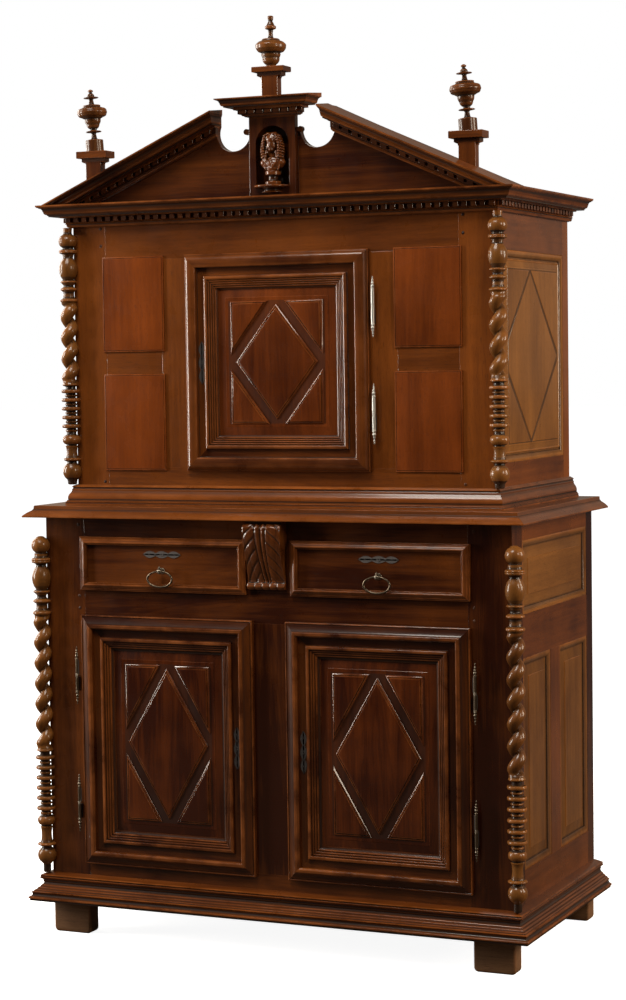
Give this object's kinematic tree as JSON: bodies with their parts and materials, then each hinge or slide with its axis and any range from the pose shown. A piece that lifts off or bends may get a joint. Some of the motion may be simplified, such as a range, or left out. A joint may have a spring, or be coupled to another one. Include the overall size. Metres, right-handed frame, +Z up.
{
  "type": "two-stage cupboard",
  "caption": "Tall two-stage walnut cupboard with doors, drawers, twisted corner columns, lozenge panels and a broken pediment with a small bust and turned finials.",
  "frame": {"origin": "on the floor, in the middle of the overall width and depth", "axes": "+X to the right as seen from the front, +Y to the back, +Z up; the doors face -Y"},
  "size_m": [1.392, 0.69, 2.369],
  "materials": {
    "walnut": "polished dark red-brown walnut",
    "panel_wood": "polished walnut, slightly lighter",
    "turned_wood": "polished turned walnut, warm",
    "carved_wood": "waxed carved walnut",
    "inner_wood": "plain unpolished wood",
    "foot_wood": "dark stained, plain",
    "steel": "worn polished steel",
    "iron": "dark forged iron"
  },
  "bodies": {
    "case": {"base_moulding": "walnut", "bust": "carved_wood", "carved_corbel": "carved_wood", "centre_entablature": "walnut", "cornice": "walnut", "drawer_runners": "inner_wood", "feet": "foot_wood", "finials": "turned_wood", "fixed_hinge_halves": "steel", "lower_back_boards": "inner_wood", "lower_case_frame": "walnut", "lower_columns": "turned_wood", "lower_corner_posts": "walnut", "lower_floor": "inner_wood", "lower_side_panels": "panel_wood", "niche_block": "walnut", "niche_bracket": "carved_wood", "pediment_plinths": "walnut", "raking_cornices": "walnut", "shelves": "inner_wood", "tympanum": "walnut", "upper_back_boards": "inner_wood", "upper_base_moulding": "walnut", "upper_case_frame": "walnut", "upper_columns": "turned_wood", "upper_corner_posts": "walnut", "upper_floor_and_top": "inner_wood", "upper_front_panels": "panel_wood", "upper_side_panels": "panel_wood", "waist_slab": "walnut"},
    "upper_door": {"upper_door_frame": "walnut", "upper_door_moulding": "walnut", "upper_door_panel": "panel_wood", "upper_door_hinge_halves": "steel", "upper_door_lock": "iron"},
    "upper_door_lock_bolt": {"upper_door_bolt": "iron"},
    "left_door": {"left_door_frame": "walnut", "left_door_moulding": "walnut", "left_door_panel": "panel_wood", "left_door_hinge_halves": "steel", "left_door_lock": "iron"},
    "left_door_lock_bolt": {"left_door_bolt": "iron"},
    "right_door": {"right_door_frame": "walnut", "right_door_moulding": "walnut", "right_door_panel": "panel_wood", "right_door_hinge_halves": "steel", "right_door_lock": "iron"},
    "right_door_lock_bolt": {"right_door_bolt": "iron"},
    "left_drawer": {"left_drawer_front": "walnut", "left_drawer_box": "inner_wood", "left_drawer_lock": "iron", "left_drawer_ring_post": "iron"},
    "left_drawer_lock_bolt": {"left_drawer_bolt": "iron"},
    "left_drawer_drop_ring": {"left_drawer_ring": "iron"},
    "right_drawer": {"right_drawer_front": "walnut", "right_drawer_box": "inner_wood", "right_drawer_lock": "iron", "right_drawer_ring_post": "iron"},
    "right_drawer_lock_bolt": {"right_drawer_bolt": "iron"},
    "right_drawer_drop_ring": {"right_drawer_ring": "iron"}
  },
  "joints": [
    {"name": "upper_door_swing", "type": "hinge", "parent": "case", "child": "upper_door", "pos_m": [0.269, -0.241, 1.502], "axis": [0, 0, 1], "range_deg": [0, 110]},
    {"name": "left_door_swing", "type": "hinge", "parent": "case", "child": "left_door", "pos_m": [-0.554, -0.31, 0.5205], "axis": [0, 0, -1], "range_deg": [0, 110]},
    {"name": "right_door_swing", "type": "hinge", "parent": "case", "child": "right_door", "pos_m": [0.554, -0.31, 0.5205], "axis": [0, 0, 1], "range_deg": [0, 110]},
    {"name": "left_drawer_slide", "type": "slide", "parent": "case", "child": "left_drawer", "axis": [0, -1, 0], "range_m": [0, 0.4]},
    {"name": "right_drawer_slide", "type": "slide", "parent": "case", "child": "right_drawer", "axis": [0, -1, 0], "range_m": [0, 0.4]},
    {"name": "left_drawer_ring_swing", "type": "hinge", "parent": "left_drawer", "child": "left_drawer_drop_ring", "pos_m": [-0.3015, -0.317, 0.969], "axis": [-1, 0, 0], "range_deg": [-2, 165]},
    {"name": "right_drawer_ring_swing", "type": "hinge", "parent": "right_drawer", "child": "right_drawer_drop_ring", "pos_m": [0.3015, -0.317, 0.969], "axis": [-1, 0, 0], "range_deg": [-2, 165]},
    {"name": "upper_door_bolt_slide", "type": "slide", "parent": "upper_door", "child": "upper_door_lock_bolt", "axis": [-1, 0, 0], "range_m": [0, 0.014]},
    {"name": "left_door_bolt_slide", "type": "slide", "parent": "left_door", "child": "left_door_lock_bolt", "axis": [1, 0, 0], "range_m": [0, 0.014]},
    {"name": "right_door_bolt_slide", "type": "slide", "parent": "right_door", "child": "right_door_lock_bolt", "axis": [-1, 0, 0], "range_m": [0, 0.014]},
    {"name": "left_drawer_bolt_slide", "type": "slide", "parent": "left_drawer", "child": "left_drawer_lock_bolt", "axis": [0, 0, 1], "range_m": [0, 0.012]},
    {"name": "right_drawer_bolt_slide", "type": "slide", "parent": "right_drawer", "child": "right_drawer_lock_bolt", "axis": [0, 0, 1], "range_m": [0, 0.012]}
  ]
}
